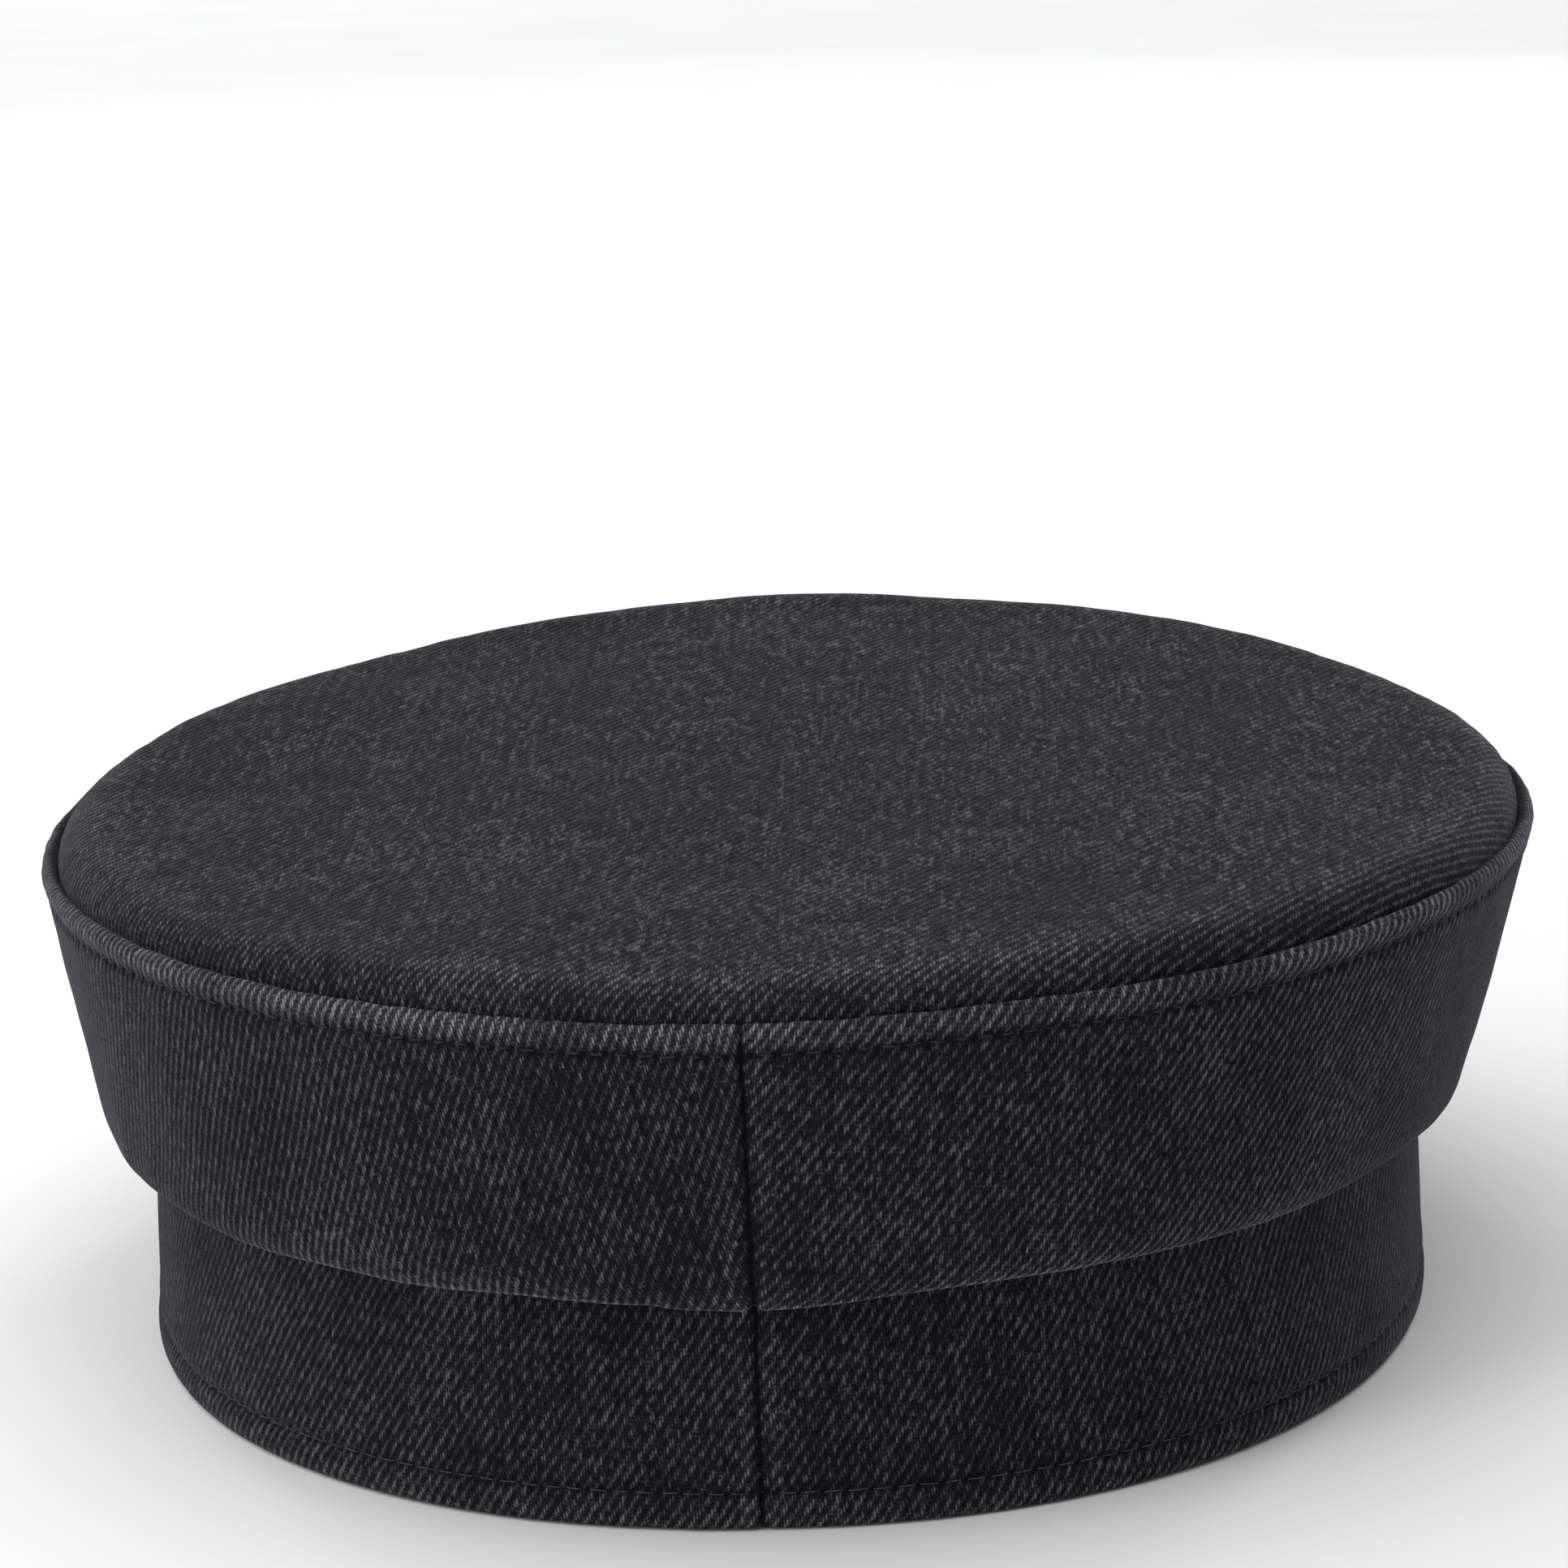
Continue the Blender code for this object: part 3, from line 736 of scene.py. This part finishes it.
def makeSideBand(cloth, thread):
    s = sideBand
    places = placesRound(s["columns"], (0.0, 0.5))
    angles = anglesAt(places)
    parts = ((foldRow, s["foldRows"]), (wallRow, s["wallRows"]), (ridgeRow, s["ridgeRows"]))
    rows = np.array([rowOf(angles, *shares) for rowOf, table in parts for shares in table])
    rows = smoothed(rows, s["steps"])
    lowest, stitch, seam = [sum(s["steps"][:row]) for row in s["namedRows"]]
    upWall, toStitch, toTop = [runUp(rows, row) / mm for row in (lowest, stitch, seam)]
    front = int(np.argmin(np.abs(places - 0.5)))
    run, length = runRound(rows[stitch])
    toBack, toFront = [besideSeam(run, length, place) for place in (0, run[front])]
    middle = (lowest + stitch) // 2
    maps = {"cloth": clothSides(rows, [0, front], lowest, middle, stitch, s["cutCurve"], s["offGrain"]),
            "stitches": stitchSides(run, length, topstitch["pitch"], toStitch * mm)}

    # the back seam wanders a little, and the wall bulges on -X
    across = unit(np.roll(rows, -1, axis=1) - np.roll(rows, 1, axis=1))
    near = hump(toBack, s["wobbleHalf"]) * ramp(-toTop, *s["wobbleFree"])
    rows = rows + across * (noiseAt(rows * (0, 0, 1), *s["wobble"]) * near)[..., None] * mm
    height = np.clip(upWall / upWall[stitch], 0, 1)
    bulge = np.clip(-unit(rows * (1, 1, 0))[..., 0], 0, 1) ** 2 * np.sin(math.pi * height ** 0.8)
    bothSeams = s["seamAtTop"] + (1 - s["seamAtTop"]) * ramp(-toTop, *s["seamsFree"])
    relief = ((seamRelief(toBack, s["seamGroove"]) + seamRelief(toFront, s["seamGroove"])) * bothSeams
              + humps(toStitch, *s["stitchShape"]) + puckers(rows[seam], toTop, *s["pucker"])
              + noiseAt(rows, *s["dents"]) * ramp(-toTop, *s["dentsFree"]) + noiseAt(rows, *s["lumps"])
              + s["sideBulge"] * bulge)
    rows = raised(rows, relief, normalsOf(rows))
    patchy = 1 + noiseAt(rows, *s["rubPatches"])
    # painted shade in the seams, along the topstitch and in the groove under the top seam
    dark, start, full = s["groovePaintedShade"]
    marks = {"wear": (patchy * (humps(upWall, *s["foldRubbed"]) + humps(toStitch, s["ribRubbed"]))
                      + humps(np.abs(toBack), s["seamRubbed"]) * bothSeams),
             "paintedShade": (humps(toBack, s["seamPaintedShade"]) + humps(toFront, s["seamPaintedShade"])
                        + humps(toStitch, s["stitchPaintedShade"]) + dark * ramp(toTop, start, full))}
    piece = newStrip("side_band_denim", rows, s["wall"], s["insideEvery"], maps, marks, cloth)
    line, facing = rows[stitch], normalsOf(rows)[stitch]
    return piece, newStitches("crown_topstitch", line, facing, True, topstitch, 12, thread)


# Crown top, a puffed oval panel

crownTop = {
    "seamGap": 0.15 * mm,
    "allowanceRows": (1.45, 0.55),  # down inside the seam, in shares of the side band's roll
    # inset and rise, in shares of the way from the seam to the shoulder
    "edgeRows": ((0.01, 0.16), (0.07, 0.38), (0.26, 0.68), (0.58, 0.91), (1.0, 1.0)),
    "middleShares": (0.1, 0.2),
    "steps": (3, 4, 5, 5, 6, 6, 10, 1),
    "shoulder": 8.8 * mm,  # from the seam in to the shoulder
    "sideShoulder": -2.6 * mm,  # added at the sides
    "level": 72.65 * mm,  # of the middle
    "tilt": 3.07 * mm,  # these four are for 100 mm along or across
    "sag": 0.93 * mm,
    "arch": 3.38 * mm,
    "lean": 0.5 * mm,
    "wall": 1.3 * mm,
    "gridSide": 168,  # faces along a side of the square grid in the middle
    "insideEvery": 6,
    "flat": (0.222, 0.234),
    "area": 0.0408,
    "pucker": (0.3, 3.6, 6.5),
    "dents": (0.3, 30, 14),
    "lumps": (0.1, 9, 15),
    "rollRubbed": (0.32, 8, 3.0),
    "rubPatches": (1.3, 22, 17),
    # painted shade in the seam's groove: strength, where it is full and where it ends, in millimetres from the
    # seam
    "seamPaintedShade": (0.6, -1.0, 0.6),
    # inwards from the seam, where each starts and is full
    "free": {"pucker": (0, 1.5), "dents": (1, 9), "lumps": (0, 4), "nap": (4, 12)},
}


def stretchedLevel(points):
    # height of the stretched middle: it leans back and a little to +X, arches across and sags along
    across, along = points[..., 0] / (100 * mm), points[..., 1] / (100 * mm)
    c = crownTop
    return c["level"] - c["tilt"] * along + c["sag"] * along**2 - c["arch"] * across**2 - c["lean"] * across


def squareRings(half):
    # the ring of every point of a square grid, and its share of the way round from +X
    a, b = np.mgrid[-half:half + 1, -half:half + 1]
    ring = np.maximum(np.abs(a), np.abs(b))
    size = np.maximum(ring, 1)
    turn = np.select([a == ring, b == ring, a == -ring], [b / size, 2 - a / size, 4 - b / size], 6 + a / size)
    return ring, turn / 8


def makeCrownTop(cloth):
    c = crownTop
    count, half = 4 * c["gridSide"], c["gridSide"] // 2
    angles = anglesAt(np.arange(count) / count)
    allowance = [movedOut(ridgeRow(angles, 1.0, down), -c["seamGap"]) for down in c["allowanceRows"]]
    seam = allowance[-1]
    width = c["shoulder"] + c["sideShoulder"] * np.cos(angles) ** 2
    shoulder = movedOut(seam, -width[:, None])
    shoulder[:, 2] = stretchedLevel(shoulder)
    middle = shoulder.mean(axis=0)

    def stretched(points, share):
        points = points + (middle - points) * share
        points[..., 2] = stretchedLevel(points)
        return points

    edge = [seam + (shoulder - seam) * (inset, inset, rise) for inset, rise in c["edgeRows"]]
    rows = np.array([*allowance, *edge, *[stretched(shoulder, share) for share in c["middleShares"]]])
    rows = smoothed(rows, c["steps"])[:-1]

    # the middle is a square grid whose rings take their places from the last row
    ring, turn = squareRings(half)
    column = (turn - 0.25) % 1 * count
    before = np.floor(column).astype(int)
    part = (column - before)[..., None]
    beyond = shoulder[before % count] * (1 - part) + shoulder[(before + 1) % count] * part
    grid = stretched(beyond, 1 - (1 - c["middleShares"][0]) * ring[..., None] / half)

    # cloth coordinates are laid out flat from the middle
    top = np.append(middle[:2], stretchedLevel(middle))
    reach = sizeOf(rows[-1] - top) - runUp(rows, len(rows) - 1)
    flatRows = unit((rows - middle) * (1, 1, 0)) * reach[..., None]
    flatGrid = unit((grid - top) * (1, 1, 0)) * sizeOf(grid - top)[..., None]

    toSeam = runUp(rows, c["steps"][0]) / mm
    free = {part: ramp(toSeam, *places) for part, places in c["free"].items()}
    relief = (puckers(seam, toSeam, *c["pucker"]) * free["pucker"] + noiseAt(rows, *c["dents"]) * free["dents"]
              + noiseAt(rows, *c["lumps"]) * free["lumps"])
    normals = normalsOf(rows)
    outerRows = raised(rows, relief, normals)
    innerRows = outerRows - normals * c["wall"]
    outerGrid = raised(grid, noiseAt(grid, *c["dents"]) + noiseAt(grid, *c["lumps"]), (0, 0, 1))
    innerGrid = outerGrid - (0, 0, c["wall"])
    rim = (outerRows[0] + innerRows[0]) / 2 - (0, 0, c["wall"] / 2)

    # one list of points: outer rows, rim, inner rows, then the insides of both grids
    last = len(rows) - 1
    thin = [*range(last, 0, -c["insideEvery"]), 0][::-1]
    sources = [*range(last, -1, -1), 0, *thin]
    core = ring < half
    points = np.concatenate([outerRows[::-1], rim[None], innerRows[thin]]).reshape(-1, 3)
    numbers = np.arange(len(points)).reshape(-1, count)
    faces = [quadsOf(np.pad(numbers, ((0, 0), (0, 1)), mode="wrap"), (3, 2, 1, 0))]
    for layer, (border, order) in enumerate(((numbers[0], (0, 3, 2, 1)), (numbers[-1], (1, 2, 3, 0)))):
        square = border[np.round(column).astype(int) % count]
        square[core] = len(points) + layer * core.sum() + np.arange(core.sum())
        faces.append(quadsOf(square, order))
    faces = np.concatenate(faces)
    flat = np.concatenate([flatRows[sources].reshape(-1, 3), flatGrid[core], flatGrid[core]])[:, :2]
    maps = {"cloth": flat[faces], "stitches": np.tile(unsewn, (faces.size, 1))}
    wear = humps(toSeam, c["rollRubbed"]) * (1 + noiseAt(rows, *c["rubPatches"]))
    # painted shade down in the seam's groove
    dark, full, end = c["seamPaintedShade"]
    paintedShade = dark * (1 - ramp(toSeam, full, end))
    marks = {mark: np.append(values[sources], np.full(2 * core.sum(), inMiddle)) for mark, values, inMiddle in
             (("wear", wear, 0.0), ("paintedShade", paintedShade, 0.0), ("nap", free["nap"], 1.0))}
    points = np.concatenate([points, outerGrid[core], innerGrid[core]])
    return newPiece("crown_top_denim", points, faces.tolist(), maps, marks, cloth)


# Peak, a stiff curved plate covered in the same denim

peak = {
    "depth": 48 * mm,
    "cornerDepth": 2 * mm,
    "cornerPower": 0.62,  # less is squarer at the corners
    "halfSpread": 60 * degree,
    "gap": 0.3 * mm,
    "wall": 3.2 * mm,
    "rootHeight": 8.6 * mm,
    "drop": 4.6 * mm,
    "cornerDrop": 3.0 * mm,
    "endBulge": 0.6 * mm,  # of the closed ends at the corners
    "columns": 260,
    "rows": 46,
    "rowPower": 1.5,  # more crowds the rows towards the edge
    "edgeTurns": 9,
    "underShift": 0.4,  # between the cloth coordinates of the two faces
    "stitchInset": 5.5,
    "noStitch": 1.0 * mm,  # none this near the head band
    "stitchDip": (-0.3, 0, 0.75),
    "edgeSwell": (0.25, 2.8, 2.0),
    "dents": (0.3, 24, 21),
    "lumps": (0.05, 4, 22),
    "reliefFree": (0, 2.5),  # inwards from the edge
    "topRubbed": (0.35, 1, 1.6),
    "edgeRubbed": 0.7,
    "underRubbed": (0.2, 1, 1.6),
    # painted shade in the dip along the stitches
    "stitchPaintedShade": (0.3, 0, 0.5),
}


def makePeak(cloth, thread):
    p = peak
    half = p["wall"] / 2
    across = np.sin(np.linspace(-math.pi / 2, math.pi / 2, p["columns"] + 1))
    root = movedOut(bandOutline(-math.pi / 2 + across * p["halfSpread"]), p["gap"])
    reach = p["cornerDepth"] + (p["depth"] - p["cornerDepth"]) * (1 - across**2).clip(0) ** p["cornerPower"]
    edge = root - reach[:, None] * (0, 1, 0)
    along = np.gradient(edge, axis=0)
    outward = unit(pointsOf(along[:, 1], -along[:, 0], 0 * reach))
    upward = np.array((0.0, 0.0, 1.0))

    def forwardOf(points):
        return np.interp(points[..., 0], root[:, 0], root[:, 1]) - points[..., 1]

    def onTop(points):
        # the place on the top face over a place in plan
        place = np.interp(points[..., 0], root[:, 0], across)
        height = p["rootHeight"] - p["cornerDrop"] * place**2 - p["drop"] * forwardOf(points) / p["depth"]
        return points * (1, 1, 0) + upward * height[..., None]

    # the middle line of the round edge, clear of the head band
    rim = edge - outward * half
    rim[:, 1] -= np.maximum(half - forwardOf(rim), 0)
    shares = 1 - (1 - np.arange(p["rows"] + 1) / p["rows"]) ** p["rowPower"]
    top = onTop(root + (rim - root) * shares[:, None, None])
    toEdge = np.array([sizeOf((edge - row[:, None]) * (1, 1, 0)).min(axis=1) for row in top]) / mm
    toStitch = p["stitchInset"] - toEdge
    relief = (humps(toStitch, p["edgeSwell"], p["stitchDip"]) + noiseAt(top, *p["dents"])
              + noiseAt(top, *p["lumps"])) * ramp(toEdge, *p["reliefFree"])
    relief = upward * relief[..., None] * mm
    turns = np.linspace(90 * degree, -90 * degree, p["edgeTurns"])[1:-1]
    middle = onTop(rim) - upward * half
    rounds = np.array([middle + half * (math.cos(turn) * outward + math.sin(turn) * upward) for turn in turns])
    lower = [*range(p["rows"], 0, -2), 0]
    section = np.concatenate([top + relief, rounds, (top - upward * p["wall"] - relief)[lower]])

    # the cloth of the top face and that of the underside meet in the middle of the edge
    arcs = [half * (90 * degree - turn) for turn in turns]
    flatTop, flatUnder = [np.concatenate([top, [rim + outward * arc for arc in order], top[lower]])[..., :2]
                          for order in (arcs, arcs[::-1])]
    flatUnder = flatUnder * (-1, 1) + p["underShift"]
    meeting = p["rows"] + 1 + len(turns) // 2

    # the line of stitches, and the coordinates that count them
    inset = onTop(edge - outward * p["stitchInset"] * mm)
    sewn = forwardOf(inset) > p["noStitch"]
    dip = p["stitchDip"][0] * mm
    line = inset[sewn] + upward * dip
    run = np.zeros(len(across))
    run[sewn] = runAlong(line)
    run[np.flatnonzero(sewn)[-1]:] = run.max()
    counted = run / run.max() * round(run.max() / topstitch["pitch"])
    onRim = 0 * rounds[..., 0]
    away = np.concatenate([toStitch, onRim + 10, toStitch[lower]]) * mm
    stitched = pointsOf(counted + 0 * away, away)

    # faces round the section, and a fan from the middle of each end
    points = section.reshape(-1, 3)
    numbers = np.arange(len(points)).reshape(section.shape[:2])
    count, width = numbers.shape
    around = np.pad(numbers, ((0, 1), (0, 0)), mode="wrap")
    faces = quadsOf(around, (0, 3, 2, 1))
    starts, ends = around[:, 0], around[:, -1]
    fans = [(starts[1:], starts[:-1], np.full(count, len(points))),
            (ends[:-1], ends[1:], np.full(count, len(points) + 1))]
    fans = np.concatenate([pointsOf(*fan) for fan in fans])
    middles = [section[:, column].mean(axis=0) + (out * p["endBulge"], 0, 0)
               for column, out in ((0, -1), (-1, 1))]
    points = np.concatenate([points, middles])
    onTopFace = np.repeat(np.arange(count) < meeting, width - 1)[:, None, None]
    flat = np.where(onTopFace, flatTop.reshape(-1, 2)[faces], flatUnder.reshape(-1, 2)[faces])
    sewnFlat = stitched.reshape(-1, 2)[faces.ravel()]
    maps = {"cloth": np.concatenate([flat.reshape(-1, 2), points[fans.ravel()][:, :2]]),
            "stitches": np.concatenate([sewnFlat, np.tile(unsewn, (fans.size, 1))])}
    wear = (humps(toEdge, p["topRubbed"]), p["edgeRubbed"] * (1 - across**12) + onRim,
            humps(toEdge[lower], p["underRubbed"]))
    # painted shade along the stitch dip on both faces
    paintedShade = (humps(toStitch, p["stitchPaintedShade"]), onRim, humps(toStitch[lower], p["stitchPaintedShade"]))
    marks = {"wear": np.append(np.concatenate(wear), (0, 0)),
             "paintedShade": np.append(np.concatenate(paintedShade), (0, 0))}
    pieces = [newPiece("peak_denim", points, faces.tolist() + fans.tolist(), maps, marks, cloth)]
    for name, face, depth, seed in (("peak_topstitch", 1.0, 0, 13),
                                    ("peak_understitch", -1.0, p["wall"] + 2 * dip, 14)):
        facing = np.tile((0, 0, face), (len(line), 1))
        pieces.append(newStitches(name, line - upward * depth, facing, False, topstitch, seed, thread))
    return pieces


# Put it all together

clothMaterial = makeDenim("washed black denim")
topThread = makeThread("dark spun thread", "#19191d", "#313136")
hemThread = makeThread("grey spun thread", "#2a2a2f", "#4c4c52")

bandPiece, bandStitches = makeHeadBand(clothMaterial, hemThread)
sidePiece, sideStitches = makeSideBand(clothMaterial, topThread)
crownPiece = makeCrownTop(clothMaterial)
peakPieces = makePeak(clothMaterial, topThread)

for piece in (bandPiece, bandStitches, sidePiece, sideStitches, crownPiece, *peakPieces):
    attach(piece, "root")
for piece, node in ((bandPiece, "head_band"), (sidePiece, "side_band"), (crownPiece, "crown_top"),
                    (peakPieces[0], "peak")):
    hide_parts(node)
print("pieces ride on the frame")


# Studio: a plain pale floor under soft boxes

def makeFloor(reach=8.0):
    # Matt white laminate, a clean pale ground with a soft shadow
    material, add = newMaterial("matt white laminate")
    place = add("TexCoord").outputs["Object"]
    grain = add("TexNoise", {"Vector": place, "Scale": 12.0, "Detail": 3.0})
    shade = add("MapRange", (grain, 0.3, 0.7, 0.83, 0.86))
    surface = add("BsdfPrincipled", {"Base Color": shade, "Roughness": 0.7, "Specular IOR Level": 0.2})
    add("OutputMaterial", {"Surface": surface})
    mesh = bpy.data.meshes.new("floor")
    mesh.from_pydata([(-reach, -reach, 0), (reach, -reach, 0), (reach, reach, 0), (-reach, reach, 0)], [],
                     [(0, 1, 2, 3)])
    mesh.materials.append(material)
    newObject("floor", mesh)


softBoxes = {
    # place, aim, width and length, watts
    "ceiling": ((0.65, -0.3, 2.4), (0.05, -0.2, 0), (3.6, 5), 88),
    "leftBack": ((0.85, -1.45, 0.35), (0, 0, 0.04), (0.3, 0.7), 5),
    "rightBack": ((-0.85, -1.45, 0.35), (0, 0, 0.04), (0.3, 0.7), 7),
    "left": ((1.15, 0.95, 0.6), (0, 0, 0.04), (0.5, 0.9), 7),
    "farFloor": ((0, -3.3, 1.4), (0, -3.6, 0), (4, 1.6), 27),
}
roomLight = {"Color": linear("#f4f5f8"), "Strength": 0.42}


def makeLights():
    for name, (place, aim, (width, length), watts) in softBoxes.items():
        light = bpy.data.lights.new(name, "AREA")
        light.shape = "RECTANGLE"
        light.size, light.size_y, light.energy = width, length, watts
        lamp = newObject(name, light)
        lamp.location = place
        lamp.rotation_euler = (Vector(aim) - Vector(place)).to_track_quat("-Z", "Y").to_euler()
    world = bpy.data.worlds.new("studio")
    world.use_nodes = True
    for socket, value in roomLight.items():
        world.node_tree.nodes["Background"].inputs[socket].default_value = value
    bpy.context.scene.world = world
    bpy.context.scene.view_settings.view_transform = "Standard"


cameraView = {
    "distance": 0.7,  # from the middle of the head band's rim
    "lift": 19.26 * degree,
    "turn": 2.8 * degree,
    "pan": 0.11 * degree,
    "tilt": 5.665 * degree,
    "roll": 2.153 * degree,
    "lens": 111.93,
}


def makeCamera():
    v = cameraView
    camera = bpy.data.cameras.new("camera")
    camera.lens = v["lens"]
    camera.sensor_width = 36
    camera.clip_start = 0.05
    view = newObject("camera", camera)
    level = v["distance"] * math.cos(v["lift"])
    matrix = Matrix.Translation((-level * math.sin(v["turn"]), middleY + level * math.cos(v["turn"]),
                                 v["distance"] * math.sin(v["lift"])))
    for axis, angle in (("Z", math.pi + v["turn"]), ("X", math.pi / 2 - v["lift"]), ("Y", -v["pan"]),
                        ("X", v["tilt"]), ("Z", -v["roll"])):
        matrix = matrix @ Matrix.Rotation(angle, 4, axis)
    view.matrix_world = matrix
    bpy.context.scene.camera = view


makeFloor()
makeLights()
makeCamera()
print("studio is lit")
